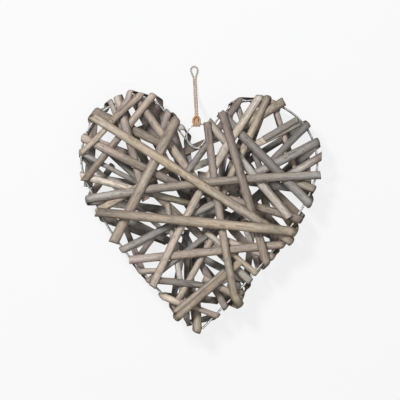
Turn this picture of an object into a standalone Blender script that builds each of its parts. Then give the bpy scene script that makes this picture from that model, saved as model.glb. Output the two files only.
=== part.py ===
"""A wicker heart lying on its back: split willow strips wound round two wire hearts.

Metres, +Z up. +X is the right of the heart and +Y its top, where the hanging ring and string are.
The strips are laid in order, the deepest first. Each is stretched over what lies below it, so the
pile and the thickness of the heart follow from the sizes here.
"""

import math

import bpy
from mathutils import Vector
from mathutils.bvhtree import BVHTree

# Sizes of the whole heart, over the bends of the strips
HEART_WIDTH = 0.245
HEART_HEIGHT = 0.243

# The wire hearts inside it
WIRE_SPACING = 0.014
WIRE_DIAMETER = 0.0016
BRACE_DIAMETER = 0.0012
RING_OUTSIDE = 0.026
RING_WIRE = 0.0014

# Split willow: the widest strip, and the thickness as a share of each strip's width, along a run and
# where it bends round the rim
WIDEST_STRIP = 0.010
RUN_THICKNESS = 0.30
BEND_THICKNESS = 0.25
GAP = 0.0004
MOST_SLACK = 0.0045
BEND_DRIFT = 0.003
TUCKED_HEIGHT = 0.001

# Where across a strip, in half widths, and how near its ends it feels for what lies below it
ACROSS = (-1.05, -0.7, -0.35, 0, 0.35, 0.7, 1.05)
END_LENGTH = 0.003

# How far outside the rim it feels for them: less than the free width of the notch
RIM_REACH = 0.010
FLAT_WITHIN = 0.0001

# The jute string, which ends in a loop, and how far its knot's middle stands past the ring's top
STRING_DIAMETER = 0.0018
STRING_REACH = 0.049
STRING_LEAN = 0.0025
KNOT_LENGTH = 0.012
KNOT_WIDTH = 0.0085
KNOT_SEAT = 0.0037

# The layout below is drawn on a grid of this many squares, with 0, 0 under the notch
GRID_WIDE = 245
GRID_TALL = 243

# One row a strip, the deepest first: its cut end on the front, where it goes round the rim, its cut
# end on the back, its width in tenths of the widest and how far it bows to its left. A strip with
# None for the back stays on the front, and one with None for the rim stays on the back
STRIPS = [
    ((-43, 67), (-32, 103), (-3, 5), 7.5, 0),
    ((98, 37), (72, 114), (98, 30), 5.5, 0),
    ((67, 27), (36, 114), (21, 35), 6.5, 0),
    ((-12, 44), None, (30, 60), 7.0, 0),
    ((62, 45), (116, 23), (-2, 38), 8.0, 0),
    ((6, 19), (-67, 116), (-5, -5), 8.5, 0),
    ((-18, 61), None, (21, 77), 7.5, 0),
    ((-33, 89), (-15, 87), (-8, 5), 6.5, 0),
    ((-18, 34), (42, 112), (81, 104), 7.0, 0),
    ((84.5, 112), (30, 79), None, 9.0, 0),
    ((-35, 33), (103, -9), (62, 34), 8.0, 0),
    ((101, 91), (28, 55), None, 7.5, 0),
    ((98, 94), (64, 74), None, 6.5, 0),
    ((62, 42), (109, 91), (36, 44), 7.0, 0),
    ((122, 57), (86, 36), None, 8.0, 0),
    ((6, 14), (120, 72), (16, -20), 9.0, 0),
    ((-97, 67), (51, -70), (-78, -4), 7.5, 0),
    ((-16, -21), (26, -97), (36, -37), 7.0, 0),
    ((-33, 10), (-7, -105), (-13, -40), 6.0, 0),
    ((16, -19), (-21, -92), (34, -62), 6.5, 0),
    ((22, -11), (-54, -69), (-79, -5), 6.0, 0),
    ((6, -19), (57, -62), (33, 25), 6.0, 0),
    ((26, -28), (74, -46), (64, 21), 8.0, 0),
    ((-41, -58), (-64, -57), (-40, -15), 6.0, 0),
    ((15, 10), (-79, -36), (27, 8), 7.5, 0),
    ((-4, -79), (-3, -121), (-13, -45), 8.5, 0),
    ((-12, -94), (-40, -83), (18, -88.5), 7.5, 0),
    ((-50, -67), (45, -83), (54, -5), 7.0, 2),
    ((3, -65), (42, -87), (24, -37), 7.5, 0),
    ((-20, -89), (19, -104), (-14, -112), 6.0, 0),
    ((-8, 9), (-112, 40), (-58, 28), 7.0, 0),
    ((-60, 29), (-116, 61), (-35, -20), 5.0, 0),
    ((-48, 20), (-110, 10), (-88, 48), 7.0, 0),
    ((-30, 45), (-103, 1), (-34, -29), 7.5, 0),
    ((-40, 70), (-107, 104), (-113, 26), 9.0, 0),
    ((-75, 77), (-91, 116), (-106, 100), 5.5, 0),
    ((-116, 32), (-46, 120), (-12, 23), 7.5, 0),
    ((-54, 13), (-84, 118), (-44, 23), 8.5, 0),
    ((-10, 22), (-112, 74), (-64, 56), 8.5, 0),
    ((-119, 60), (-68, 118), (-26, 58), 6.0, -3),
    ((22, 17), (67, 113), (30, 13), 7.5, 0),
    ((-71, -47), (86, -32), (-4, 11), 8.5, 0),
    ((20, 100), (111.5, 7.5), (106, 63), 9.3, 0),
    ((90, -5), (8, 92), None, 8.5, 0),
    ((-48, -74), (59, 113.5), (22, 23), 8.0, 5),
    ((25, -58), (-24, -97), (-13, -17), 6.0, 0),
    ((40, -49), (-20, -101), (14, 5), 7.5, 0),
    ((7, 91), (31, -85), (4, -56), 8.0, -2),
    ((121, 38), (-106.5, 17), (-30, 2), 8.5, -4),
    ((-88, 92), (-58, 115.5), (-37, 71), 7.0, 0),
    ((-87, -30), (-22, 96), (-76, 76), 10.0, 0),
    ((22, 101), (63, -50), (4, 16), 8.5, 0),
    ((-108, 97), (83, -22.5), (30, 32), 9.0, 0),
    ((-104, 1), (96, -19), (24, 79), 9.5, 0),
]

# The strips that the heart rests on, each with the stretch of its back run that meets the table, in
# squares from the rim
FEET = {48: (16, 24), 49: (28, 38), 54: (82, 92)}

# Front ends of the first strips that stop this deep inside the rim, in squares, lean into the heart
TUCKED_FRONTS = 39
TUCK_DEPTH = 14

# On the same grid: the foot of the ring in the notch, the ends of the brace and how far the knot is
# from the Y axis
RING_FOOT = (-1, 64.7)
BRACE_ENDS = ((-25, 80), (-80, -26))
KNOT_SIDE = -3.5

GRID_X = HEART_WIDTH / GRID_WIDE
GRID_Y = HEART_HEIGHT / GRID_TALL
HALF = WIRE_SPACING / 2
UP = Vector((0, 0, 1))


def on_grid(place):
    return Vector((place[0] * GRID_X, place[1] * GRID_Y, 0))


def curve_through(controls, count):
    """Points along the Bezier curve of these controls, without its two ends."""
    found = []
    for step in range(1, count):
        row = [Vector(control) for control in controls]
        while len(row) > 1:
            row = [a.lerp(b, step / count) for a, b in zip(row, row[1:])]
        found.append(row[0])
    return found


def arc(middle, radius, start, end, count):
    """Points along an arc in degrees, with both its ends."""
    angles = [math.radians(start + (end - start) * step / count) for step in range(count + 1)]
    return [
        Vector((middle[0] + radius * math.cos(a), middle[1] + radius * math.sin(a)))
        for a in angles
    ]


class Rim:
    """The outline of the wire hearts, read by the distance along it, counter-clockwise."""

    def __init__(self):
        tip, notch = (0, -118), (-0.5, 64.5)
        right = arc((55, 50), 63, -29, 108, 30)
        left = arc((-59, 55.5), 60.5, 84, 215, 30)
        squares = (
            [tip]
            + curve_through([tip, (89, -30), right[0]], 30)
            + right
            + curve_through([right[-1], (6, 92), (7, 64.5), notch], 16)
            + [notch]
            + curve_through([notch, (-15, 64), (-32, 110), left[0]], 16)
            + left
            + curve_through([left[-1], (-93, -33), tip], 30)
        )
        points = [on_grid(place) for place in squares]
        for _ in range(3):
            points = self.evened(points, 400)
            points = [
                (points[i - 1] + points[i] * 2 + points[(i + 1) % 400]) / 4 for i in range(400)
            ]
        self.points = points
        steps = [(b - a).length for a, b in zip(points, points[1:] + points[:1])]
        self.length = sum(steps)
        self.step = self.length / len(points)

    @staticmethod
    def evened(points, count):
        """The same closed line with its points an equal distance apart."""
        ring = points + points[:1]
        marks = [0.0]
        for a, b in zip(ring, ring[1:]):
            marks.append(marks[-1] + (b - a).length)
        found, k = [], 0
        for i in range(count):
            want = marks[-1] * i / count
            while marks[k + 1] <= want:
                k += 1
            share = (want - marks[k]) / (marks[k + 1] - marks[k])
            found.append(ring[k].lerp(ring[k + 1], share))
        return found

    def at(self, distance):
        """The point at this distance along the rim, with the outward and the forward direction."""
        place = distance / self.step
        low = math.floor(place)
        count = len(self.points)
        a, b = self.points[low % count], self.points[(low + 1) % count]
        before, after = self.points[(low - 2) % count], self.points[(low + 3) % count]
        forward = (after - before).normalized()
        return a.lerp(b, place - low), Vector((forward.y, -forward.x, 0)), forward

    def nearest(self, place):
        """The distance along the rim of its point nearest to this place."""
        index = min(range(len(self.points)), key=lambda i: (self.points[i] - place).length)
        return index * self.step

    def inside(self, place):
        """How far inside the rim a place is. It is below 0 outside."""
        point, outward, _ = self.at(self.nearest(place))
        return (point - place).dot(outward)


class Pile:
    """The solids laid so far, asked how far out they stand."""

    def __init__(self):
        self.points, self.faces, self.tree = [], [], None

    def add(self, points, faces):
        first = len(self.points)
        self.points += points
        self.faces += [[first + corner for corner in face] for face in faces]
        self.tree = BVHTree.FromPolygons(self.points, self.faces)

    def reach(self, origin, outward, far=0.1):
        """How far from the origin the outermost solid stands in this direction, or None."""
        hit = self.tree.ray_cast(origin + outward * far, -outward, 2 * far)
        return None if hit[0] is None else far - hit[3]


def taut(marks, most):
    """The upper hull of (distance, height) pairs, with at most this many points inside it."""
    hull = []
    for mark in sorted(marks):
        while len(hull) > 1:
            (ax, ay), (bx, by) = hull[-2], hull[-1]
            if (bx - ax) * (mark[1] - ay) < (by - ay) * (mark[0] - ax):
                break
            hull.pop()
        hull.append(mark)
    while len(hull) > 3:
        # Leaves out the flattest or shortest inner edge and runs its neighbours on till they meet
        best = None
        for i in range(1, len(hull) - 2):
            (ax, ay), (bx, by), (cx, cy), (dx, dy) = hull[i - 1 : i + 3]
            first, last = (by - ay) / (bx - ax), (dy - cy) / (dx - cx)
            if abs(first - last) < 1e-6:
                met = (cx, cy)
            else:
                x = (cy - by + first * bx - last * cx) / (first - last)
                met = (x, by + first * (x - bx))
            rise = met[1] - by - (cy - by) * (met[0] - bx) / (cx - bx)
            if best is None or rise < best[0]:
                best = (rise, i, met)
        if len(hull) - 2 <= most and best[0] > 0.00025:
            break
        hull[best[1] : best[1] + 2] = [best[2]]
    return hull


def along(hull, distance):
    """The height of a hull at this distance, run on straight past its ends."""
    for (ax, ay), (bx, by) in zip(hull, hull[1:]):
        if distance <= bx or (bx, by) == hull[-1]:
            return ay + (by - ay) * (distance - ax) / (bx - ax)


def run(pile, route, width, side, gap, start_height, end_height, foot=None):
    """A strip stretched along a route over the pile, as points from its start to its end.

    Side is 1 on the front and -1 on the back. A height that is None leaves that end free. A foot
    is a stretch before the end that reaches down to a level, as (from, to, level).
    """
    marks, whole = [0.0], 0.0
    for a, b in zip(route, route[1:]):
        whole += (b - a).length
        marks.append(whole)
    needs, count = [], max(12, round(whole / 0.0011))
    for step in range(count + 1):
        distance = whole * step / count
        leg = max(k for k in range(len(route) - 1) if k == 0 or marks[k] <= distance)
        heading = (route[leg + 1] - route[leg]).normalized()
        middle = route[leg] + heading * (distance - marks[leg])
        across = Vector((-heading.y, heading.x, 0)) * (width / 2)
        found = [pile.reach(middle + across * k, UP * side) for k in ACROSS]
        found = [reach for reach in found if reach is not None and reach > -0.003]
        if found:
            needs += [(distance + shift, max(found) + gap) for shift in (-0.0008, 0.0008)]
    first = [h for d, h in needs if d < END_LENGTH]
    last = [h for d, h in needs if d > whole - END_LENGTH]
    inner = [(d, h) for d, h in needs if END_LENGTH <= d <= whole - END_LENGTH]
    if start_height is not None or first:
        inner.append((0.0, max(first + [start_height or -1])))
    if end_height is not None or last:
        inner.append((whole, max(last + [end_height or -1])))
    if foot:
        inner += [(whole - foot[0], foot[2]), (whole - foot[1], foot[2])]
    if len(inner) < 2:
        level = inner[0][1] if inner else 0.0
        inner = [(0.0, level), (whole, level)]
    hull = taut(inner, 4)
    if len(hull) < 2:
        hull = [(0.0, hull[0][1]), (whole, hull[0][1])]
    stops = {0.0, whole} | set(marks[1:-1])
    for distance, _ in hull[1:-1]:
        if all(abs(distance - stop) > 0.002 for stop in stops):
            stops.add(distance)
    found = []
    for stop in sorted(stops):
        leg = max(k for k in range(len(route) - 1) if k == 0 or marks[k] <= stop)
        heading = (route[leg + 1] - route[leg]).normalized()
        place = route[leg] + heading * (stop - marks[leg])
        found.append(place + UP * side * along(hull, stop))
    return found


def bowed(start, end, bow):
    """A straight route, or one in four legs that bows to the left of its heading."""
    if not bow:
        return [start, end]
    heading = (end - start).normalized()
    left = Vector((-heading.y, heading.x, 0)) * bow * GRID_X
    shares = (0, 0.25, 0.5, 0.75, 1)
    return [start.lerp(end, u) + left * 4 * u * (1 - u) for u in shares]


class Wrap:
    """The bend of a strip round both wires, from the top of one to the bottom of the other."""

    ANGLES = (90, 0, 45, 22.5, 67.5)

    def __init__(self, pile, rim, strip, gap):
        front, bend, back, width, _ = strip
        self.rim, self.width = rim, width * WIDEST_STRIP / 10
        place = on_grid(bend)
        self.middle = rim.nearest(place)
        _, outward, forward = rim.at(self.middle)
        self.pitches = [
            self.pitch(place - on_grid(front), outward, forward),
            self.pitch(on_grid(back) - place, -outward, forward),
        ]
        slack = -rim.inside(place) - BEND_THICKNESS * self.width
        least = WIRE_DIAMETER / 2 + gap
        radius = max(least, min(slack, MOST_SLACK))
        # Each half of the bend is part of an ellipse: how far it reaches out, and up or down
        self.out = [radius, radius]
        self.rise = [min(radius, 2 * least)] * 2
        for side in (0, 1):
            for angle in self.ANGLES:
                self.widen(pile, side, angle, gap)
        for share in (0.25, 0.5, 0.75):
            spot, outward, across = self.upright(share)
            limit = self.out[0] * (1 - share) + self.out[1] * share
            for k in (-1, 0, 1):
                reach = pile.reach(spot + across * (k * self.width / 2), outward, RIM_REACH)
                if reach is not None and reach + gap > limit:
                    self.out = [size + reach + gap - limit for size in self.out]
                    limit = reach + gap

    @staticmethod
    def pitch(heading, outward, forward):
        """How far the strip moves along the rim for each step out over it."""
        heading = heading.normalized()
        return max(-0.9, min(0.9, heading.dot(forward) / max(0.3, heading.dot(outward))))

    def upright(self, share):
        """A spot between the wires: its place, the outward direction and that across the strip."""
        drift = 0.3 * sum(self.pitches) * WIRE_SPACING
        point, outward, forward = self.rim.at(self.middle + drift * share)
        return point + UP * (HALF - WIRE_SPACING * share), outward, forward

    def spot(self, side, angle):
        """The wire's middle, the outward direction and that across the strip, at an angle."""
        turn = math.radians(angle)
        drift = BEND_DRIFT * self.pitches[side] * turn
        if side:
            drift = 0.3 * sum(self.pitches) * WIRE_SPACING + drift
        else:
            drift = -drift
        point, outward, forward = self.rim.at(self.middle + drift)
        sign = -1 if side else 1
        normal = outward * math.cos(turn) + UP * sign * math.sin(turn)
        lean = math.atan(self.pitches[side])
        ahead = outward * math.sin(turn) - UP * sign * math.cos(turn)
        across = forward * math.cos(lean) - ahead * math.sin(lean)
        return point + UP * sign * HALF, normal, across

    def widen(self, pile, side, angle, gap):
        middle, normal, across = self.spot(side, angle)
        turn = math.radians(angle)
        for k in (-1, -0.5, 0, 0.5, 1):
            reach = pile.reach(middle + across * (k * self.width / 2), normal, RIM_REACH)
            if reach is None:
                continue
            reach += gap
            if angle == 90:
                self.rise[side] = max(self.rise[side], reach)
            elif angle == 0:
                self.out[side] = max(self.out[side], reach)
            else:
                x, z = reach * math.cos(turn), reach * math.sin(turn)
                self.rise[side] = max(self.rise[side], z / 0.9)
                level = math.sqrt(1 - (z / self.rise[side]) ** 2)
                self.out[side] = max(self.out[side], x / level)

    def end(self, side):
        """The place in plan where the strip leaves the wire, and its height."""
        middle, _, _ = self.spot(side, 90)
        return Vector((middle.x, middle.y, 0)), HALF + self.rise[side]

    def stations(self):
        """The bend's own points with their normals, between the two ends."""
        found, wide = [], math.cos(math.radians(22.5))
        for side, angle in ((0, 67.5), (0, 22.5), (1, 22.5), (1, 67.5)):
            middle, normal, _ = self.spot(side, angle)
            up = UP * normal.dot(UP)
            level = normal - up
            place = middle + (level * self.out[side] + up * self.rise[side]) / wide
            facing = level / self.out[side] + up / self.rise[side]
            found.append((place, facing.normalized()))
        return found


def loft(stations, width):
    """A strip's closed mesh through (place, normal, thickness) stations on its flat inner side."""
    places = [place for place, _, _ in stations]
    legs = [(b - a).normalized() for a, b in zip(places, places[1:])]
    legs = [legs[0]] + legs + [legs[-1]]
    points, faces = [], []
    outline = ((-0.5, 0), (0.5, 0), (0.42, 0.62), (0, 1), (-0.42, 0.62))
    for (place, normal, thick), before, after in zip(stations, legs, legs[1:]):
        heading = (before + after).normalized()
        across = heading.cross(normal).normalized()
        normal = across.cross(heading)
        mitre = 1 / max(0.8, heading.dot(after))
        points += [
            place + across * x * width + normal * z * thick * mitre for x, z in outline
        ]
    count = len(outline)
    for ring in range(len(stations) - 1):
        a, b = ring * count, ring * count + count
        for i in range(count):
            j = (i + 1) % count
            faces += [[a + i, b + i, b + j], [a + i, b + j, a + j]]
    faces.append(list(range(count)))
    faces.append([len(points) - 1 - i for i in range(count)])
    return points, faces


def strip_shape(pile, rim, strip, index, gap, level):
    """The mesh of one strip. The level is how far below the middle the table is."""
    front, bend, back, width, bow = strip
    width = width * WIDEST_STRIP / 10
    thick, thin = RUN_THICKNESS * width, BEND_THICKNESS * width
    foot = FEET.get(index + 1)
    if foot:
        foot = (foot[0] * GRID_Y, foot[1] * GRID_Y, level - thick)
    tucked = index < TUCKED_FRONTS and rim.inside(on_grid(front)) > TUCK_DEPTH * GRID_X
    start_height = TUCKED_HEIGHT if tucked else None
    if bend is None:
        places = run(pile, [on_grid(front), on_grid(back)], width, -1, gap, None, None)
        return loft([(place, -UP, thick) for place in places], width)
    if back is None:
        inner = rim.inside(on_grid(bend)) > TUCK_DEPTH * GRID_X
        end_height = TUCKED_HEIGHT if inner and index < TUCKED_FRONTS else None
        route = bowed(on_grid(front), on_grid(bend), bow)
        places = run(pile, route, width, 1, gap, start_height, end_height)
        return loft([(place, UP, thick) for place in places], width)
    wrap = Wrap(pile, rim, strip, gap)
    spot, height = wrap.end(0)
    route = bowed(on_grid(front), spot, bow)
    places = run(pile, route, width, 1, gap, start_height, height)
    wrap.rise[0] = places[-1].z - HALF
    stations = [(place, UP, thick) for place in places[:-1]]
    stations.append((places[-1], UP, (thick + thin) / 2))
    spot, height = wrap.end(1)
    backward = run(pile, [on_grid(back), spot], width, -1, gap, TUCKED_HEIGHT, height, foot)
    wrap.rise[1] = -backward[-1].z - HALF
    stations += [(place, normal, thin) for place, normal in wrap.stations()]
    stations.append((backward[-1], -UP, (thick + thin) / 2))
    stations += [(place, -UP, thick) for place in reversed(backward[:-1])]
    return loft(stations, width)


def laid(pile, rim, strip, index, level):
    """The mesh of one strip that is clear of the pile, with a wider gap where it has to be."""
    for tries in range(8):
        points, faces = strip_shape(pile, rim, strip, index, GAP * (1 + tries), level)
        if not pile.tree.overlap(BVHTree.FromPolygons(points, faces)):
            break
    else:
        print("strip", index + 1, "still touches its neighbours")
    return points, faces


def material(name, colour, roughness, metallic=0.0):
    made = bpy.data.materials.new(name)
    made.use_nodes = True
    shader = made.node_tree.nodes["Principled BSDF"]
    shader.inputs["Base Color"].default_value = (*colour, 1)
    shader.inputs["Roughness"].default_value = roughness
    shader.inputs["Metallic"].default_value = metallic
    return made


def add_mesh(name, points, faces, look, parts):
    mesh = bpy.data.meshes.new(name)
    mesh.from_pydata([tuple(point) for point in points], [], faces)
    mesh.update()
    made = bpy.data.objects.new(name, mesh)
    made.data.materials.append(look)
    parts.objects.link(made)
    return made


def add_tube(name, points, diameter, closed, sides, look, parts):
    """A round wire or cord through these points, with 4 + 2 * sides flat sides."""
    curve = bpy.data.curves.new(name, "CURVE")
    curve.dimensions = "3D"
    curve.bevel_depth = diameter / 2
    curve.bevel_resolution = sides
    curve.use_fill_caps = not closed
    line = curve.splines.new("POLY")
    line.points.add(len(points) - 1)
    for spot, point in zip(line.points, points):
        spot.co = (*point, 1)
    line.use_cyclic_u = closed
    made = bpy.data.objects.new(name, curve)
    curve.materials.append(look)
    parts.objects.link(made)
    return made


def shape_of(thing):
    """The points and faces of an object as it stands."""
    graph = bpy.context.evaluated_depsgraph_get()
    shape = thing.evaluated_get(graph).to_mesh()
    points = [vertex.co.copy() for vertex in shape.vertices]
    return points, [list(face.vertices) for face in shape.polygons]


def smoothed(points, count):
    """This many points along a Catmull-Rom curve through the given ones, evenly apart."""
    fine = []
    ends = [points[0] * 2 - points[1]] + points + [points[-1] * 2 - points[-2]]
    for a, b, c, d in zip(ends, ends[1:], ends[2:], ends[3:]):
        for step in range(24):
            t = step / 24
            fine.append(
                b
                + (c - a) * (t / 2)
                + (a * 2 - b * 5 + c * 4 - d) * (t * t / 2)
                + (b * 3 - a - c * 3 + d) * (t * t * t / 2)
            )
    fine.append(points[-1])
    marks = [0.0]
    for a, b in zip(fine, fine[1:]):
        marks.append(marks[-1] + (b - a).length)
    found, k = [], 0
    for step in range(count):
        want = marks[-1] * step / (count - 1)
        while k < len(fine) - 2 and marks[k + 1] < want:
            k += 1
        share = (want - marks[k]) / (marks[k + 1] - marks[k])
        found.append(fine[k].lerp(fine[k + 1], min(1.0, share)))
    return found


def ring_middle():
    """The middle of the hanging ring, which lies on the front wire heart with its foot in the notch."""
    height = HALF + WIRE_DIAMETER / 2 + RING_WIRE / 2 + GAP
    return on_grid(RING_FOOT) + Vector((0, (RING_OUTSIDE - RING_WIRE) / 2, height))


def knot_middle():
    """The middle of the knot round the top of the ring."""
    ring = ring_middle()
    return Vector((KNOT_SIDE * GRID_X, ring.y + (RING_OUTSIDE - RING_WIRE) / 2 + KNOT_SEAT, ring.z))


def string_route(floor):
    """The string from the knot down to the table, round its loop and back to the knot."""
    radius = STRING_DIAMETER / 2
    start = knot_middle() + Vector((0, KNOT_LENGTH / 2 + GAP, 0))
    low = floor + radius + GAP
    apart = radius + 0.0001
    bulb = 1.9 * STRING_DIAMETER
    far = start.y + STRING_REACH
    drop = start.z - low
    side = [
        (start.x + apart, start.y, start.z),
        (start.x + apart, start.y + 0.20 * drop, start.z - 0.12 * drop),
        (start.x + apart, start.y + 0.42 * drop, start.z - 0.50 * drop),
        (start.x + apart, start.y + 0.66 * drop, start.z - 0.88 * drop),
        (start.x + apart, start.y + 0.95 * drop, low),
        (start.x + apart, far - 4.2 * bulb, low),
        (start.x + apart + 0.12 * bulb, far - 3.0 * bulb, low),
        (start.x + 0.90 * bulb, far - 1.7 * bulb, low),
        (start.x + 0.90 * bulb, far - 0.6 * bulb, low),
    ]
    other = [(2 * start.x - x, y, z) for x, y, z in reversed(side)]
    route = [Vector(place) for place in side + [(start.x, far, low)] + other]
    for place in route:
        place.x -= STRING_LEAN * (place.y - start.y) / STRING_REACH
    return route


def add_knot(circle, look, parts):
    """The knot: a rounded lump with a channel through it for the top of the ring."""
    bpy.ops.mesh.primitive_uv_sphere_add(segments=14, ring_count=9, radius=0.5)
    knot = bpy.context.object
    knot.name = knot.data.name = "string_knot"
    middle = knot_middle()
    for vertex in knot.data.vertices:
        x, y, z = vertex.co
        vertex.co = middle + Vector((x * KNOT_WIDTH, y * KNOT_LENGTH, z * 0.8 * KNOT_WIDTH))
    knot.data.materials.append(look)
    for holder in list(knot.users_collection):
        holder.objects.unlink(knot)
    parts.objects.link(knot)
    guide = add_tube("channel_guide", circle, RING_WIRE + 2 * GAP, True, 1, look, parts)
    points, faces = shape_of(guide)
    bpy.data.objects.remove(guide)
    channel = add_mesh("channel", points, faces, look, parts)
    channel.hide_render = True
    cut = knot.modifiers.new("channel", "BOOLEAN")
    cut.object = channel
    cut.solver = "EXACT"
    cut.operation = "DIFFERENCE"
    return knot


def main():
    for thing in list(bpy.data.objects):
        bpy.data.objects.remove(thing)
    parts = bpy.data.collections.new("wicker_heart")
    bpy.context.scene.collection.children.link(parts)
    willow = material("split_willow", (0.33, 0.27, 0.21), 0.75)
    steel = material("steel_wire", (0.45, 0.45, 0.44), 0.4, 0.9)
    jute = material("jute", (0.52, 0.36, 0.22), 0.9)

    rim, pile, made = Rim(), Pile(), []

    # The two wire hearts
    outline = rim.evened(rim.points, 48)
    for name, height in (("front_wire", HALF), ("back_wire", -HALF)):
        line = [point + UP * height for point in outline]
        made.append(add_tube(name, line, WIRE_DIAMETER, True, 1, steel, parts))

    # The hanging ring on the front wire, and the brace between two places of its outline
    radius = (RING_OUTSIDE - RING_WIRE) / 2
    turns = [math.tau * step / 22 for step in range(22)]
    circle = [
        ring_middle() + Vector((radius * math.cos(a), radius * math.sin(a), 0)) for a in turns
    ]
    made.append(add_tube("hanging_ring", circle, RING_WIRE, True, 1, steel, parts))
    brace = [on_grid(place) + UP * HALF for place in BRACE_ENDS]
    made.append(add_tube("brace_wire", brace, BRACE_DIAMETER, False, 1, steel, parts))
    for thing in made:
        pile.add(*shape_of(thing))

    # The strips, laid again until nothing is lower than the feet
    wires, level = (pile.points, pile.faces), 0.0
    for _ in range(6):
        pile, shapes = Pile(), []
        pile.add(*wires)
        for index, strip in enumerate(STRIPS):
            shapes.append(laid(pile, rim, strip, index, level))
            pile.add(*shapes[-1])
        lowest = -min(point.z for point in pile.points)
        if level and lowest < level + FLAT_WITHIN:
            break
        level = lowest + GAP
    for index, (points, faces) in enumerate(shapes):
        made.append(add_mesh(f"strip_{index + 1:02d}", points, faces, willow, parts))

    # The string and its knot, which grips the top of the ring
    floor = min(point.z for point in pile.points)
    line = smoothed(string_route(floor), 44)
    made.append(add_tube("string", line, STRING_DIAMETER, False, 2, jute, parts))
    made.append(add_knot(circle, jute, parts))

    # Everything goes up to stand on z = 0, with the heart's middle on the Z axis
    low = Vector([min(point[axis] for point in pile.points) for axis in range(3)])
    high = Vector([max(point[axis] for point in pile.points) for axis in range(3)])
    shift = Vector((-(low.x + high.x) / 2, -(low.y + high.y) / 2, -low.z))
    for thing in parts.objects:
        thing.location = shift
    print("size", [round(1000 * side, 1) for side in high - low])


main()
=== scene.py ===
"""The look of the wicker heart, lying on its back under a camera that looks straight down on it."""

import math
import random

import bpy
import numpy as np
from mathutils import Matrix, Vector, noise


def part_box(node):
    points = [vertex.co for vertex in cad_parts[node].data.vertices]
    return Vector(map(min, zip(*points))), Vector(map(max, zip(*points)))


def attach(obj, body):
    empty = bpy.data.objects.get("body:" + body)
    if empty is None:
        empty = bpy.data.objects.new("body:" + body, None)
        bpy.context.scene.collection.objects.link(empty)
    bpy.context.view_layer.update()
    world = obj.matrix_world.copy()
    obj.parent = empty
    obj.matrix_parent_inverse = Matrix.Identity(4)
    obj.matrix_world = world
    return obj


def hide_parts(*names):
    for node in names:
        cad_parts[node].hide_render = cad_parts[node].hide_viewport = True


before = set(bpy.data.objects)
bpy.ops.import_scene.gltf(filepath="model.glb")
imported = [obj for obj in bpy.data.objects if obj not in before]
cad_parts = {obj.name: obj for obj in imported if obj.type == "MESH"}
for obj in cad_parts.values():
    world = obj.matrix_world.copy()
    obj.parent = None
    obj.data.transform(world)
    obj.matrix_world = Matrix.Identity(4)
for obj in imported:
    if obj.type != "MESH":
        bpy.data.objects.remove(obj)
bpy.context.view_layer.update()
UP = Vector((0, 0, 1))

# The photograph shows VIEW_WIDTH across at the height of the upper strips. The middle of its frame is
# FRAME_MIDDLE away from the zero of the grid on which part.py lays out the heart
VIEW_WIDTH = 0.400
VIEW_HEIGHT_ABOVE = 2.5
UPPER_STRIPS = 0.036
FRAME_MIDDLE = (0.0, 0.013)
SENSOR_WIDTH = 36
FARTHEST_SEEN = 20

# As in part.py: the foot of the hanging ring on that grid, the wires, the string and its knot
RING_FOOT = (-0.001, 0.0647)
RING_WIRE = 0.0014
WIRE_DIAMETER = 0.0016
BRACE_DIAMETER = 0.0012
GAP = 0.0004
STRING_DIAMETER = 0.0018
STRING_REACH = 0.049
STRING_LEAN = 0.0025
KNOT_LENGTH = 0.012

# The points in a ring of a CAD strip and of a CAD wire. Points count as one when they are the same in
# these steps to the metre, and two faces lie in one plane when the cosine between them is at least this
STRIP_CORNERS = 5
WIRE_CORNERS = 6
STRIP_STEPS = 1e5
WIRE_STEPS = 1e6
ONE_PLANE = 0.99999

# A fine strip: the distance between its rings, and how its path's corners are rounded
RING_STEP = 0.0012
FEWEST_RINGS = 6
LONGEST_CORNER = 0.002
CORNER_SHARE = 0.49
CORNER_SPANS = 8
SAME_PLACE = 1e-7

# Its section in shares of its width and thickness: a round side in CREST_SPANS spans, more like a box
# where it folds over the wires, and the points of the flat side
CREST_SPANS = 10
ROUND_POWER = 1.8
FOLDED_POWER = 6.0
EDGE_HEIGHT = 0.14
FLAT_SIDE = ((0.44, 0.02), (0.22, 0.05), (0.0, 0.09), (-0.22, 0.05), (-0.44, 0.02))
FOLD_LENGTH = 0.008
FOLD_THINNING = 0.25
SHARPEST_ROUND = math.radians(42)

# Its thickened nodes: one more for each NODE_EVERY of its length
NODE_EVERY = 0.10
NODE_LENGTH = 0.004
NODE_LONGER = 0.002
NODE_WIDER = 0.07
NODE_THICKER = 0.13

# Its cut ends: how they slant over the last CUT_LENGTH, and the rings that close them, from the edge
# inwards, as size, how far they stand out, colour and shade
CUT_LENGTH = 0.006
CUT_SLANT = 0.55
SLANT_SPREAD = 0.9
CUT_LEAN = 0.55
CUT_WOOD = (158, 146, 130)
# The pith is dark partly by its own colour and partly as painted shade of its hollow
PITH_AND_HOLLOW_SHADE = (80, 70, 62)
CUT_RINGS = ((0.94, 0.00015, CUT_WOOD, 0.8), (0.55, 0.0002, CUT_WOOD, 1), (0.16, 0.0001, PITH_AND_HOLLOW_SHADE, 1))

# The noise behind what varies along a strip: its strength, its sheet counted from the strip's own, and
# its waves per metre of length and per point of the section
SEED_STEP = 7.31
WIDTH_WAVES = (0.06, 0, 30, 0)
THICKNESS_WAVES = (0.08, 1, 40, 0)
TONE_WAVES = (0.22, 2, 22, 0)
WARMTH_WAVES = (1, 4, 30, 0.35)
FINE_BUMPS = (0.045, 6, 170, 1.9)
LONG_BUMPS = (0.03, 7, 60, 0.9)
STREAKS = (0.28, 8, 34, 0.75)
FLECKS = (1, 9, 260, 1.7)
SPLITS = (1, 10, 13, 0.55)
FACET_SHADE_WAVES = (0.30, 12, 11, 0)

# Where a strip reads its single values in the noise: the sheet, and the place on it
SLANT_SPOT = (5, 3.3)
LEAN_SPOT = (6, 5.1)
FACET_SHADE_SPOT = (13, 2.7)
NEXT_END = 9
NEXT_NODE = (3.1, 11.7)

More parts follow.
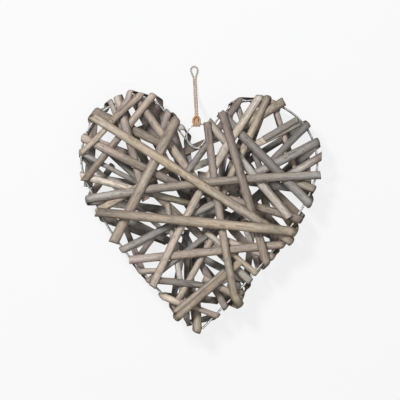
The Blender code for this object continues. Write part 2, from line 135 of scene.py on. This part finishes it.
# Bark and split wood, as they look in even light
TONES = {
    "pale": (206, 193, 179),
    "tan": (188, 174, 159),
    "brown": (169, 155, 141),
    "drab": (150, 137, 124),
    "umber": (132, 119, 107),
    "ash": (190, 184, 177),
    "grey": (169, 162, 154),
    "stone": (148, 141, 134),
    "cool": (128, 124, 119),
    "pink": (186, 169, 159),
    "mauve": (161, 146, 139),
    "plum": (138, 125, 119),
    "sand": (182, 167, 147),
    "olive": (165, 153, 133),
}

# The strips on top of the heart are browner, and the ones deep in it greyer and mostly darker: partly
# grey bark, partly painted shade of the deep layers. Now and then a stretch of a strip is paler or
# darker than that. The back runs turn to a darker, cooler tone, painted shade of the back of the heart
BROWNER = ("tan", "brown", "drab", "sand", "brown")
GREY_AND_SHADED = ("grey", "stone", "cool", "mauve", "drab")
UNUSUAL = ("pale", "ash", "pink", "olive", "umber", "plum")
GREY_ON_TOP = 0.15
GREY_SHADE_DEEPER = 0.7
UNUSUAL_SHARE = 0.2
# The back runs' painted shade: a cool grey, its share in their tone, and how fast they turn to it
BACK_SHADE_TONE = "cool"
BACK_SHADE_SHARE = 0.5
BACK_SHADE_FADE = 3

# How cracked most strips are, and the ones that are cracked most
CRACKED = 0.3
CRACKED_SPREAD = 0.2
MOST_CRACKED = {15: 0.9, 52: 0.9, 53: 0.9, 54: 0.7}

# How streaks, flecks, splits, painted shade on one long facet and painted shade at the edges
# change a strip's tone
USUAL_SHADE = 1.03
FLECK_DEPTH = 0.20
NODE_FLECKS = 0.30
SPLIT_WIDTH = 0.05
SPLIT_SHADE = 0.6
# Painted shade on one long facet: where across the strip it starts, and how much darker it is
FACET_SHADE_FROM = 0.12
FACET_SHADE = 0.86
WARM_TINT = np.array((0.09, 0.02, -0.08))
# Painted shade, with some weathering, at the edges of the round side where it turns away from the light
EDGE_SHADE_TINT = np.array((0.50, 0.45, 0.43))
EDGE_SHADE_POWER = 3

# How the grain lies: the distance between a section's points on a strip of the usual width, and between
# those of a cut end
GRAIN_SPACING = 0.0009
USUAL_WIDTH = 0.008
CUT_SPACING = 0.5

# Fine wires: their patches and what is bare of them, and the points along them and round them
DULL_WIRE = (132, 131, 127)
BRIGHT_WIRE = (214, 214, 210)
HEART_WIRE_POINTS = 420
WIRE_SIDES = 10
RING_POINTS = 140
RING_SIDES = 12
BRACE_SPANS = 60

# The string's two yarns: the length of a turn, and their offset and radius in shares of its diameter
STRING_PITCH = 0.0056
YARN_OFFSET = 0.22
YARN_RADIUS = 0.345
YARN_SIDES = 8
YARN_SPACING = 0.0007
YARN_LAY = 0.4
YARNS_APART = 3
YARN_WEAR = (0.18, 5.3, 220, 0.8)
STRAND_COLOUR = (184, 166, 148)
KNOT_COLOUR = (198, 158, 122)

# Curves: the spans between two of their given points, and from which rise on a path counts as steep
CURVE_SPANS = 24
STEEP = 0.9

# The points along the string and the knot's strands, and how much thicker the knot's strands are
STRING_POINTS = 520
STRAND_POINTS = 90
BIGHT_POINTS = 300
STRAND_SWELL = 1.1
BIGHT_SWELL = 1.08

# The table: a lit and glowing sheet for the camera, and below it one that only reflects light
FLOOR_HALF = 6
FLOOR_DEPTH = 0.0005
FLOOR_GREY = (0.10, 0.10, 0.10, 1)
FLOOR_GLOW = 0.83
BELOW_DEPTH = 0.001
BELOW_GREY = (0.06, 0.06, 0.06, 1)

# Lamps that face the middle of the heart: name, place, size and power
LAMPS = (("key", (-0.75, 0.95, 1.5), 0.4, 37), ("fill", (0.8, -0.3, 1.9), 1.2, 6))
LAMP_COLOUR = (0.99, 1.0, 1.01)
SKY_COLOUR = (0.97, 0.98, 1.0, 1)
SKY_STRENGTH = 0.30


def linear(colour):
    """A colour in 0 to 255 as Blender's linear values."""
    shares = [part / 255 for part in colour]
    return np.array([x / 12.92 if x < 0.04045 else ((x + 0.055) / 1.055) ** 2.4 for x in shares])


def shift():
    """How far the grid's zero is from the frame's, read from the hanging ring."""
    low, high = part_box("hanging_ring")
    radius = (high.x - low.x - RING_WIRE) / 2
    return Vector(((low.x + high.x) / 2 - RING_FOOT[0], (low.y + high.y) / 2 - radius - RING_FOOT[1], 0))


SHIFT = shift()


# Materials


def new_material(name, roughness, metallic=0.0):
    made = bpy.data.materials.new(name)
    made.use_nodes = True
    shader = made.node_tree.nodes["Principled BSDF"]
    shader.inputs["Roughness"].default_value = roughness
    shader.inputs["Metallic"].default_value = metallic
    return made, made.node_tree, shader


def add_node(tree, kind, **settings):
    made = tree.nodes.new(kind)
    for key, value in settings.items():
        if key in made.inputs:
            made.inputs[key].default_value = value
        else:
            setattr(made, key, value)
    return made


def long_noise(tree, stretch, detail, roughness):
    """Noise on the coordinates along and round a strip or yarn, which are scaled by stretch."""
    place = add_node(tree, "ShaderNodeUVMap", uv_map="strip")
    mapping = add_node(tree, "ShaderNodeMapping", Scale=stretch)
    tree.links.new(place.outputs["UV"], mapping.inputs["Vector"])
    made = add_node(tree, "ShaderNodeTexNoise", Scale=1.0, Detail=detail, Roughness=roughness)
    tree.links.new(mapping.outputs["Vector"], made.inputs["Vector"])
    return made.outputs["Fac"]


def spread(tree, value, low, high, darkest, lightest):
    """A value between low and high, as a factor between darkest and lightest."""
    made = add_node(tree, "ShaderNodeMapRange")
    for key, end in (("From Min", low), ("From Max", high), ("To Min", darkest), ("To Max", lightest)):
        made.inputs[key].default_value = end
    tree.links.new(value, made.inputs["Value"])
    return made.outputs["Result"]


def paint(tree, shader, factor):
    """The mesh's own tone, times a factor, as the colour."""
    tone = add_node(tree, "ShaderNodeAttribute", attribute_name="tone")
    scaled = add_node(tree, "ShaderNodeVectorMath", operation="SCALE")
    tree.links.new(tone.outputs["Color"], scaled.inputs[0])
    tree.links.new(factor, scaled.inputs["Scale"])
    tree.links.new(scaled.outputs["Vector"], shader.inputs["Base Color"])


def roughen(tree, shader, height, strength, depth):
    """Small bumps."""
    bump = add_node(tree, "ShaderNodeBump", Strength=strength, Distance=depth)
    tree.links.new(height, bump.inputs["Height"])
    tree.links.new(bump.outputs["Normal"], shader.inputs["Normal"])


def willow_material():
    """Dry weathered willow: colour from the strip's own tone, with grain and fine cracks."""
    made, tree, shader = new_material("split_willow", roughness=0.78)
    shader.inputs["Specular IOR Level"].default_value = 0.25
    grain = long_noise(tree, stretch=(160, 1500, 1), detail=5.0, roughness=0.65)
    lines = long_noise(tree, stretch=(34, 950, 1), detail=3.0, roughness=0.6)
    both = add_node(tree, "ShaderNodeMath", operation="MULTIPLY")
    tree.links.new(spread(tree, grain, low=0.25, high=0.75, darkest=0.66, lightest=1.30), both.inputs[0])
    tree.links.new(spread(tree, lines, low=0.27, high=0.44, darkest=0.60, lightest=1.0), both.inputs[1])
    paint(tree, shader, both.outputs["Value"])
    roughen(tree, shader, both.outputs["Value"], strength=0.5, depth=0.0004)
    return made


def wire_material():
    """Dull galvanised wire with darker patches."""
    made, tree, shader = new_material("steel_wire", roughness=0.42, metallic=0.35)
    place = add_node(tree, "ShaderNodeTexCoord")
    spots = add_node(tree, "ShaderNodeTexNoise", Scale=420.0, Detail=3.0)
    tree.links.new(place.outputs["Object"], spots.inputs["Vector"])
    colours = add_node(tree, "ShaderNodeValToRGB")
    for end, position, colour in zip(colours.color_ramp.elements, (0.35, 0.62), (DULL_WIRE, BRIGHT_WIRE)):
        end.position = position
        end.color = (*linear(colour), 1)
    tree.links.new(spots.outputs["Fac"], colours.inputs["Fac"])
    tree.links.new(colours.outputs["Color"], shader.inputs["Base Color"])
    roughen(tree, shader, spots.outputs["Fac"], strength=0.25, depth=0.0002)
    return made


def jute_material():
    """Jute yarn: fibres run along the twist."""
    made, tree, shader = new_material("jute", roughness=0.9)
    shader.inputs["Sheen Weight"].default_value = 0.3
    fibres = long_noise(tree, stretch=(400, 4200, 1), detail=4.0, roughness=0.7)
    paint(tree, shader, spread(tree, fibres, low=0.3, high=0.7, darkest=0.60, lightest=1.25))
    roughen(tree, shader, fibres, strength=0.6, depth=0.0003)
    return made


WILLOW, WIRE, JUTE = willow_material(), wire_material(), jute_material()


# Noise, and meshes made of rings of points


def waver(sheet, along, around=0.0):
    """Smooth noise from about -1 to 1."""
    return noise.noise(Vector((along, around, sheet)))


def waves(kind, seed, s, j=0):
    """One kind of noise at a distance along a strip or yarn, and at a point of its section."""
    strength, sheet, along, around = kind
    return strength * waver(seed + sheet, along * s, around * j)


def add_rings(name, rings, look, uvs=None, tones=None, closed=False):
    """A mesh through rings of as many points each, closed on itself or with its two ends filled."""
    points = np.array(rings, float)
    count, sides = points.shape[:2]
    spots = points.reshape(-1, 3)
    rows = np.arange(count if closed else count - 1)
    a = rows[:, None] * sides + np.arange(sides)[None]
    b = rows[:, None] * sides + (np.arange(sides)[None] + 1) % sides
    ahead = ((rows + 1) % count)[:, None] * sides
    c, d = ahead + (np.arange(sides)[None] + 1) % sides, ahead + np.arange(sides)[None]
    quads = np.stack([a, b, c, d], 2).reshape(-1, 4)
    corners = spots[quads]
    volume = np.einsum("ij,ij->i", corners[:, 0], np.cross(corners[:, 1], corners[:, 2])).sum()
    volume += np.einsum("ij,ij->i", corners[:, 0], np.cross(corners[:, 2], corners[:, 3])).sum()
    faces = quads.tolist()
    if not closed:
        faces += [list(range(sides))[::-1], list(range((count - 1) * sides, count * sides))]
    if volume < 0:
        faces = [face[::-1] for face in faces]
    mesh = bpy.data.meshes.new(name)
    mesh.from_pydata(spots.tolist(), [], faces)
    mesh.update()
    mesh.shade_smooth()
    if uvs is not None:
        layer = mesh.uv_layers.new(name="strip")
        corner = np.empty(len(mesh.loops), np.int32)
        mesh.loops.foreach_get("vertex_index", corner)
        layer.data.foreach_set("uv", np.array(uvs, np.float32).reshape(-1, 2)[corner].ravel())
    if tones is not None:
        colour = mesh.color_attributes.new("tone", "FLOAT_COLOR", "POINT")
        colour.data.foreach_set("color", np.array(tones, np.float32).ravel())
    made = bpy.data.objects.new(name, mesh)
    mesh.materials.append(look)
    bpy.context.scene.collection.objects.link(made)
    return made


def lengths_along(path):
    """How far each point of a path is from its first one, along the path."""
    marks = [0.0]
    for a, b in zip(path, path[1:]):
        marks.append(marks[-1] + (b - a).length)
    return marks


def smoothed(points, count, closed=False):
    """This many points along a Catmull-Rom curve through the given ones, evenly apart."""
    if closed:
        ends = [points[-1]] + points + points[:2]
    else:
        ends = [points[0] * 2 - points[1]] + points + [points[-1] * 2 - points[-2]]
    fine = []
    for a, b, c, d in zip(ends, ends[1:], ends[2:], ends[3:]):
        for step in range(CURVE_SPANS):
            t = step / CURVE_SPANS
            fine.append(
                b
                + (c - a) * (t / 2)
                + (a * 2 - b * 5 + c * 4 - d) * (t * t / 2)
                + (b * 3 - a - c * 3 + d) * (t * t * t / 2)
            )
    fine.append(ends[-2])
    marks = lengths_along(fine)
    found, k = [], 0
    for step in range(count):
        want = marks[-1] * step / (count if closed else count - 1)
        while k < len(fine) - 2 and marks[k + 1] < want:
            k += 1
        part = (want - marks[k]) / (marks[k + 1] - marks[k])
        found.append(fine[k].lerp(fine[k + 1], min(1.0, part)))
    return found


def frames_along(path, closed=False):
    """The heading, and two directions across it, at each point of a path, without any twist."""
    count = len(path)
    found, side = [], None
    for i in range(count):
        before = path[i - 1] if closed or i else path[0]
        after = path[(i + 1) % count] if closed or i < count - 1 else path[-1]
        heading = (after - before).normalized()
        if side is None:
            side = heading.cross(UP if abs(heading.z) < STEEP else Vector((1, 0, 0))).normalized()
        side = (side - heading * side.dot(heading)).normalized()
        found.append((heading, side, heading.cross(side)))
    return found


def tube_rings(path, radius, sides, closed=False):
    """Round rings along a path."""
    turns = [math.tau * k / sides for k in range(sides)]
    rings = []
    for place, (_, a, b) in zip(path, frames_along(path, closed)):
        rings.append([place + a * math.cos(t) * radius + b * math.sin(t) * radius for t in turns])
    return rings


# A strip's path, read from its CAD solid


def welded(mesh):
    """A mesh's separate points, and its triangles by the numbers of those points."""
    mesh.calc_loop_triangles()
    index, spots, alias = {}, [], []
    for vertex in mesh.vertices:
        key = tuple(round(x * STRIP_STEPS) for x in vertex.co)
        if key not in index:
            index[key] = len(spots)
            spots.append(vertex.co.copy())
        alias.append(index[key])
    return spots, [tuple(alias[i] for i in t.vertices) for t in mesh.loop_triangles]


def end_cap(first, triangles, normals):
    """The corners of the flat face that a triangle is part of, if it can be the end of a strip."""
    group, corners = {first}, set(triangles[first])
    for _ in range(STRIP_CORNERS - 1):
        for other, triangle in enumerate(triangles):
            if len(corners & set(triangle)) > 1 and normals[first].dot(normals[other]) > ONE_PLANE:
                group.add(other)
                corners |= set(triangle)
    if len(group) == STRIP_CORNERS - 2 and len(corners) == STRIP_CORNERS:
        return corners
    return None


def layers_from(cap, near):
    """The rings of points that follow one another from an end of a strip, if they take in all of it."""
    layers, seen = [cap], set(cap)
    while len(layers[-1]) == STRIP_CORNERS:
        ahead = set().union(*(near[corner] for corner in layers[-1])) - seen
        if not ahead:
            break
        layers.append(ahead)
        seen |= ahead
    if len(seen) == len(near) and len(layers[-1]) == STRIP_CORNERS:
        return layers
    return None


def cad_rings(name, spots, triangles):
    """A CAD strip's rings of points, from the first end that leads through all of it."""
    near = [set() for _ in spots]
    for triangle in triangles:
        for corner in triangle:
            near[corner] |= set(triangle) - {corner}
    normals = [(spots[b] - spots[a]).cross(spots[c] - spots[a]).normalized() for a, b, c in triangles]
    for first in range(len(triangles)):
        cap = end_cap(first, triangles, normals)
        layers = layers_from(cap, near) if cap else None
        if layers:
            return [[spots[i] for i in layer] for layer in layers]
    raise ValueError(f"{name} isn't a row of rings")


def cad_stations(node):
    """A CAD strip, read ring by ring from its front end: (place, normal, thickness, width)."""
    stations = []
    for ring in cad_rings(node.name, *welded(node.data)):
        pairs = [(a, b) for i, a in enumerate(ring) for b in ring[i + 1 :]]
        a, b = max(pairs, key=lambda pair: (pair[0] - pair[1]).length)
        middle, across = (a + b) / 2, (b - a).normalized()
        rises = [p - middle - across * (p - middle).dot(across) for p in ring]
        crown = max(rises, key=lambda rise: rise.length)
        stations.append((middle, crown.normalized(), crown.length, (b - a).length))
    if stations[0][0].z < stations[-1][0].z:
        stations.reverse()
    return stations


def fine_path(stations):
    """The stations' line with its corners rounded: rows of (place, normal, thickness, width)."""
    rows = [np.array([*place, *normal, thick, width]) for place, normal, thick, width in stations]
    dense = [rows[0]]
    for before, here, after in zip(rows, rows[1:], rows[2:]):
        first, last = np.linalg.norm(here[:3] - before[:3]), np.linalg.norm(after[:3] - here[:3])
        reach = min(LONGEST_CORNER, CORNER_SHARE * first, CORNER_SHARE * last)
        start, end = here + (before - here) * reach / first, here + (after - here) * reach / last
        for step in range(CORNER_SPANS + 1):
            t = step / CORNER_SPANS
            dense.append(start * (1 - t) ** 2 + here * 2 * t * (1 - t) + end * t * t)
    dense.append(rows[-1])
    dense = np.array(dense)
    steps = np.linalg.norm(np.diff(dense[:, :3], axis=0), axis=1)
    dense = dense[np.concatenate([[True], steps > SAME_PLACE])]
    marks = np.concatenate([[0], np.cumsum(np.linalg.norm(np.diff(dense[:, :3], axis=0), axis=1))])
    count = max(FEWEST_RINGS, round(marks[-1] / RING_STEP))
    wanted = np.linspace(0, marks[-1], count + 1)
    return wanted, np.stack([np.interp(wanted, marks, column) for column in dense.T], 1)


# The willow strips


def section(power):
    """The outline of a split strip in shares of its width and thickness, flat side down."""
    found = []
    for j in range(CREST_SPANS + 1):
        x = -0.5 * math.cos(math.pi * j / CREST_SPANS)
        z = (1 - min(1.0, abs(2 * x)) ** power) ** (1 / power)
        found.append((x, max(z, EDGE_HEIGHT)))
    return found + list(FLAT_SIDE)


ROUND_SECTION, FOLDED_SECTION = section(ROUND_POWER), section(FOLDED_POWER)


def look_of(number, depth):
    """A strip's three tones and how cracked it is. The depth is 0 on top and 1 deepest."""
    draw = random.Random(number)
    # Deeper strips more often take the greyer, darker tones: partly grey bark, partly painted shade of
    # the deep layers
    family = GREY_AND_SHADED if draw.random() < GREY_ON_TOP + GREY_SHADE_DEEPER * depth else BROWNER
    names = [draw.choice(UNUSUAL if draw.random() < UNUSUAL_SHARE else family) for _ in range(3)]
    cracked = CRACKED + CRACKED_SPREAD * draw.random()
    return names, MOST_CRACKED.get(number, cracked)


def tone_along(share, colours):
    """The strip's tone at a share of its front run: cut end, middle, rim, and then on the back run a
    darker, cooler tone, painted shade.
    """
    cut, middle, rim, back_shade = colours
    if share < 0.5:
        mix = min(1.0, max(0.0, 2 * share))
        return cut * (1 - mix) + middle * mix
    if share < 1:
        mix = 2 * share - 1
        return middle * (1 - mix) + rim * mix
    mix = min(1.0, BACK_SHADE_FADE * (share - 1))
    return rim * (1 - mix) + back_shade * mix


def shade_at(seed, s, j, swell, cracked, on_shaded_facet):
    """How light a point is: streaks, flecks that darken at a node, painted shade on one long facet, and
    splits.
    """
    fleck = waves(FLECKS, seed, s, j)
    shade = USUAL_SHADE + waves(STREAKS, seed, s, j) + FLECK_DEPTH * fleck
    shade -= NODE_FLECKS * min(1.0, swell) * abs(fleck)
    # Painted shade on one long facet of the strip
    if on_shaded_facet:
        shade *= FACET_SHADE
    if abs(waves(SPLITS, seed, s, j)) < SPLIT_WIDTH * cracked:
        shade *= SPLIT_SHADE
    return shade


def tint_at(seed, s, j, x):
    """The tint of a point: warmer in places, and darker towards the round side's edges: painted shade,
    with some weathering.
    """
    tint = 1 + WARM_TINT * waves(WARMTH_WAVES, seed, s, j)
    if j > CREST_SPANS:
        return tint
    # Painted shade towards the edges of the round side
    edge = abs(2 * x) ** EDGE_SHADE_POWER
    return tint * (1 - edge) + EDGE_SHADE_TINT * edge


def thick_nodes(number, seed, whole):
    """Where a strip has its nodes, and how long they are."""
    found = []
    for k in range(1 + int(whole / NODE_EVERY)):
        share = 0.5 + 0.5 * waver(seed + NEXT_NODE[0] * k, NEXT_NODE[1] * k + number)
        found.append((whole * share, NODE_LENGTH + NODE_LONGER * (k % 2)))
    return found


def cut_shapes(seed):
    """How each of the two cut ends slants over the strip's thickness and leans over its width."""
    found = []
    for k, side in enumerate((-1, 1)):
        slant = CUT_SLANT + SLANT_SPREAD * waver(seed + SLANT_SPOT[0], SLANT_SPOT[1] + NEXT_END * k)
        lean = CUT_LEAN * waver(seed + LEAN_SPOT[0], LEAN_SPOT[1] + NEXT_END * k)
        found.append((side * slant, lean))
    return found


def close_end(end, places, seed, rings, uvs, tones):
    """Close a cut end with a small chamfer, wood and a darker pith, partly painted shade of its hollow.
    """
    rim = rings[end]
    out = (places[0] - places[1] if end == 0 else places[-1] - places[-2]).normalized()
    heart = sum(rim, Vector()) / len(rim)
    for size, push, colour, shade in CUT_RINGS:
        ring = [heart + (spot - heart) * size + out * push for spot in rim]
        ring_uvs = [(CUT_SPACING * k, seed) for k in range(len(rim))]
        ring_tones = [[*(linear(colour) * shade), 1]] * len(rim)
        if end == 0:
            rings.insert(0, ring)
            uvs[:0], tones[:0] = ring_uvs, ring_tones
        else:
            rings.append(ring)
            uvs += ring_uvs
            tones += ring_tones


def strip_piece(number, node, depth):
    """A willow strip in place of its CAD solid."""
    seed = SEED_STEP * number
    along, rows = fine_path(cad_stations(node))
    whole = along[-1]
    facing_up = rows[:, 5] > 0
    turn = along[np.argmin(facing_up)] if facing_up[0] and not facing_up.all() else whole
    tone_names, cracked = look_of(number, depth)
    colours = [linear(TONES[name]) for name in tone_names]
    # The back run's tone: the rim tone mixed with a cool grey, painted shade of the back of the heart
    colours.append(colours[-1] * (1 - BACK_SHADE_SHARE) + linear(TONES[BACK_SHADE_TONE]) * BACK_SHADE_SHARE)
    nodes, cuts = thick_nodes(number, seed, whole), cut_shapes(seed)
    # Which long side of the strip gets the painted facet shade
    shaded_side = 1 if waver(seed + FACET_SHADE_SPOT[0], FACET_SHADE_SPOT[1]) > 0 else -1
    places = [Vector(row[:3]) for row in rows]
    rings, uvs, tones = [], [], []
    for i, (s, row, place) in enumerate(zip(along, rows, places)):
        heading = (places[min(i + 1, len(places) - 1)] - places[max(i - 1, 0)]).normalized()
        across = heading.cross(Vector(row[3:6])).normalized()
        normal = across.cross(heading)
        swell = sum(math.exp(-(((s - at) / size) ** 2)) for at, size in nodes)
        fold = math.exp(-(((s - turn) / FOLD_LENGTH) ** 2)) if turn < whole else 0.0
        thick, width = row[6], row[7]
        thick *= 1 + waves(THICKNESS_WAVES, seed, s) + NODE_THICKER * swell - FOLD_THINNING * fold
        width *= 1 + waves(WIDTH_WAVES, seed, s) + NODE_WIDER * swell
        slant, lean = cuts[0 if s < whole / 2 else 1]
        near_end = max(0.0, 1 - min(s, whole - s) / CUT_LENGTH)
        base = tone_along(s / turn + waves(TONE_WAVES, seed, s), colours)
        facet_shade_from = FACET_SHADE_FROM + waves(FACET_SHADE_WAVES, seed, s)
        ring = []
        for j, ((x, z), (_, folded_z)) in enumerate(zip(ROUND_SECTION, FOLDED_SECTION)):
            z = z * (1 - fold) + folded_z * fold
            rough = 1 + waves(FINE_BUMPS, seed, s, j) + waves(LONG_BUMPS, seed, s, j)
            spot = place + across * (x * width * rough) + normal * (z * thick * rough)
            back_off = lean * x * width * 2 - slant * z * thick
            ring.append(spot + heading * (back_off * near_end))
            shade = shade_at(seed, s, j, swell, cracked, shaded_side * x > facet_shade_from)
            tones.append([*(base * tint_at(seed, s, j, x) * shade), 1])
            uvs.append((s + seed, GRAIN_SPACING * j * width / USUAL_WIDTH))
        rings.append(ring)
    for end in (0, -1):
        close_end(end, places, seed, rings, uvs, tones)
    made = add_rings(f"willow_{number:02d}", rings, WILLOW, uvs, tones)
    made.data.set_sharp_from_angle(angle=SHARPEST_ROUND)
    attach(made, "root")
    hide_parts(node.name)


def add_strips():
    """All strips. They are numbered from the deepest to the one on top."""
    strips = sorted(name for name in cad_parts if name.startswith("strip_"))
    for index, name in enumerate(strips):
        strip_piece(index + 1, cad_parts[name], 1 - index / (len(strips) - 1))


# The wires


def wire_path(node):
    """The middle line of a CAD wire heart, from its points in order round the heart."""
    points = {tuple(round(x * WIRE_STEPS) for x in v.co): v.co.copy() for v in node.data.vertices}
    ordered = sorted(points.values(), key=lambda p: math.atan2(p.y, p.x))
    rings = [ordered[i : i + WIRE_CORNERS] for i in range(0, len(ordered), WIRE_CORNERS)]
    return [sum(ring, Vector()) / WIRE_CORNERS for ring in rings]


def add_heart_wires():
    for name in ("front_wire", "back_wire"):
        line = smoothed(wire_path(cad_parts[name]), HEART_WIRE_POINTS, closed=True)
        rings = tube_rings(line, WIRE_DIAMETER / 2, WIRE_SIDES, closed=True)
        made = add_rings(name + "_fine", rings, WIRE, closed=True)
        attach(made, "root")
        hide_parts(name)


def add_hanging_ring():
    low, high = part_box("hanging_ring")
    middle, radius = (low + high) / 2, (high.x - low.x - RING_WIRE) / 2
    turns = [math.tau * k / RING_POINTS for k in range(RING_POINTS)]
    circle = [middle + Vector((math.cos(t), math.sin(t), 0)) * radius for t in turns]
    rings = tube_rings(circle, RING_WIRE / 2, RING_SIDES, closed=True)
    made = add_rings("hanging_ring_fine", rings, WIRE, closed=True)
    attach(made, "root")
    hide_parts("hanging_ring")


def add_brace():
    """The brace wire, between the middles of its two CAD ends."""
    points = sorted((v.co.copy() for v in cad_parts["brace_wire"].data.vertices), key=lambda p: p.y)
    half = len(points) // 2
    low, high = sum(points[:half], Vector()) / half, sum(points[half:], Vector()) / (len(points) - half)
    line = [low.lerp(high, k / BRACE_SPANS) for k in range(BRACE_SPANS + 1)]
    made = add_rings("brace_wire_fine", tube_rings(line, BRACE_DIAMETER / 2, WIRE_SIDES), WIRE)
    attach(made, "root")
    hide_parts("brace_wire")


# The jute string


def string_route(start, floor):
    """The same route as in part.py: down to the table, round the loop and back to the knot."""
    radius = STRING_DIAMETER / 2
    low = floor + radius + GAP
    apart = radius + 0.0001
    bulb = 1.9 * STRING_DIAMETER
    far = start.y + STRING_REACH
    drop = start.z - low
    side = [
        (start.x + apart, start.y, start.z),
        (start.x + apart, start.y + 0.20 * drop, start.z - 0.12 * drop),
        (start.x + apart, start.y + 0.42 * drop, start.z - 0.50 * drop),
        (start.x + apart, start.y + 0.66 * drop, start.z - 0.88 * drop),
        (start.x + apart, start.y + 0.95 * drop, low),
        (start.x + apart, far - 4.2 * bulb, low),
        (start.x + apart + 0.12 * bulb, far - 3.0 * bulb, low),
        (start.x + 0.90 * bulb, far - 1.7 * bulb, low),
        (start.x + 0.90 * bulb, far - 0.6 * bulb, low),
    ]
    other = [(2 * start.x - x, y, z) for x, y, z in reversed(side)]
    route = [Vector(place) for place in side + [(start.x, far, low)] + other]
    for place in route:
        place.x -= STRING_LEAN * (place.y - start.y) / STRING_REACH
    return route


def plied(name, path, diameter, colour):
    """Two twisted yarns along a path, as two closed tubes."""
    frames, marks, plain = frames_along(path), lengths_along(path), linear(colour)
    pieces = []
    for ply in range(2):
        line = []
        for place, mark, (_, a, b) in zip(path, marks, frames):
            turn = math.tau * mark / STRING_PITCH + math.pi * ply
            line.append(place + (a * math.cos(turn) + b * math.sin(turn)) * diameter * YARN_OFFSET)
        rings = tube_rings(line, diameter * YARN_RADIUS, YARN_SIDES)
        uvs, tones = [], []
        for mark in marks:
            for k in range(YARN_SIDES):
                uvs.append((mark + YARNS_APART * ply, YARN_SPACING * k + mark * YARN_LAY))
                tones.append([*(plain * (1 + waves(YARN_WEAR, ply, mark, k))), 1])
        pieces.append(add_rings(f"{name}_{ply}", rings, JUTE, uvs, tones))
    return pieces


def joined(pieces, name):
    bpy.ops.object.select_all(action="DESELECT")
    for piece in pieces:
        piece.select_set(True)
    bpy.context.view_layer.objects.active = pieces[0]
    bpy.ops.object.join()
    made = pieces[0]
    made.name = made.data.name = name
    return made


def hitch(knot, start):
    """Both strands go round the ring, and so does the bight that crosses over them."""
    ring_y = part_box("hanging_ring")[1].y - RING_WIRE / 2
    under, around = ring_y - RING_WIRE / 2 - STRING_DIAMETER / 2, ring_y + STRING_DIAMETER / 2
    middle = Vector((knot.x, 0, knot.z))
    pieces = []
    for side in (-1, 1):
        strand = [
            (0.0010, start.y + 0.0006, 0.0), (0.0008, knot.y + 0.0030, 0.0), (0.0008, knot.y, 0.0004),
            (0.0010, around, 0.0015), (0.0010, under, 0.0008), (0.0010, under, -0.0008),
            (0.0010, around, -0.0015),
        ]
        path = smoothed([middle + Vector((side * x, y, z)) for x, y, z in strand], STRAND_POINTS)
        pieces += plied(f"strand_end{side}", path, STRING_DIAMETER * STRAND_SWELL, KNOT_COLOUR)
    half = [
        (0.0010, knot.y + 0.0030, -0.0016), (0.0018, knot.y, -0.0019), (0.0027, around, -0.0017),
        (0.0028, under, -0.0008), (0.0028, under, 0.0008), (0.0029, around, 0.0017),
        (0.0035, knot.y - 0.0018, 0.0016), (0.0032, knot.y + 0.0010, 0.0014),
        (0.0020, knot.y + 0.0030, 0.0017),
    ]
    bight = [(-x, y, z) for x, y, z in half] + [(0.0, knot.y + 0.0042, 0.0021)] + half[::-1]
    path = smoothed([middle + Vector(place) for place in bight], BIGHT_POINTS)
    return pieces + plied("bight", path, STRING_DIAMETER * BIGHT_SWELL, KNOT_COLOUR)


def add_string():
    """The string, which lies limp on the table, and its knot on the hanging ring."""
    low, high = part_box("string_knot")
    knot = (low + high) / 2
    knot.z = sum(corner.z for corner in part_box("hanging_ring")) / 2
    start = knot + Vector((0, KNOT_LENGTH / 2 + GAP, 0))
    route = smoothed(string_route(start, 0.0), STRING_POINTS)
    strands = joined(plied("strand", route, STRING_DIAMETER, STRAND_COLOUR), "jute_string")
    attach(strands, "root")
    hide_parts("string")
    tied = joined(hitch(knot, start), "jute_knot")
    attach(tied, "root")
    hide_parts("string_knot")


# Camera, floor and light


def add_camera():
    """A camera that looks straight down, because it isn't turned."""
    data = bpy.data.cameras.new("camera")
    camera = bpy.data.objects.new("camera", data)
    camera.location = (FRAME_MIDDLE[0] + SHIFT.x, FRAME_MIDDLE[1] + SHIFT.y, VIEW_HEIGHT_ABOVE)
    data.sensor_width = SENSOR_WIDTH
    data.lens = SENSOR_WIDTH * (VIEW_HEIGHT_ABOVE - UPPER_STRIPS) / VIEW_WIDTH
    data.clip_end = FARTHEST_SEEN
    bpy.context.scene.collection.objects.link(camera)
    bpy.context.scene.camera = camera


def floor_sheet(name, depth, grey):
    """A wide matt sheet below the table's top."""
    mesh = bpy.data.meshes.new(name)
    corners = [(-1, -1), (1, -1), (1, 1), (-1, 1)]
    mesh.from_pydata([(x * FLOOR_HALF, y * FLOOR_HALF, 0) for x, y in corners], [], [(0, 1, 2, 3)])
    look, _, shader = new_material(name, roughness=1.0)
    shader.inputs["Base Color"].default_value = grey
    mesh.materials.append(look)
    sheet = bpy.data.objects.new(name, mesh)
    sheet.location.z = -depth
    bpy.context.scene.collection.objects.link(sheet)
    return sheet, shader


def add_floor():
    """A pale table that glows a little, so that the gaps between the strips stay bright."""
    floor, shader = floor_sheet("floor", FLOOR_DEPTH, FLOOR_GREY)
    shader.inputs["Specular IOR Level"].default_value = 0.0
    shader.inputs["Emission Color"].default_value = (1, 1, 1, 1)
    shader.inputs["Emission Strength"].default_value = FLOOR_GLOW
    floor.visible_diffuse = floor.visible_glossy = False
    below, _ = floor_sheet("floor_below", BELOW_DEPTH, BELOW_GREY)
    below.visible_camera = False


def add_lights():
    scene = bpy.context.scene
    scene.view_settings.view_transform = "Standard"
    scene.world = bpy.data.worlds.new("studio")
    scene.world.use_nodes = True
    back = scene.world.node_tree.nodes["Background"]
    back.inputs["Color"].default_value = SKY_COLOUR
    back.inputs["Strength"].default_value = SKY_STRENGTH
    for name, place, size, power in LAMPS:
        data = bpy.data.lights.new(name, "AREA")
        data.size, data.energy, data.color = size, power, LAMP_COLOUR
        light = bpy.data.objects.new(name, data)
        light.location = place
        light.rotation_euler = (-Vector(place)).to_track_quat("-Z", "Y").to_euler()
        scene.collection.objects.link(light)


add_camera()
add_string()
add_heart_wires()
add_hanging_ring()
add_brace()
add_strips()
add_floor()
add_lights()
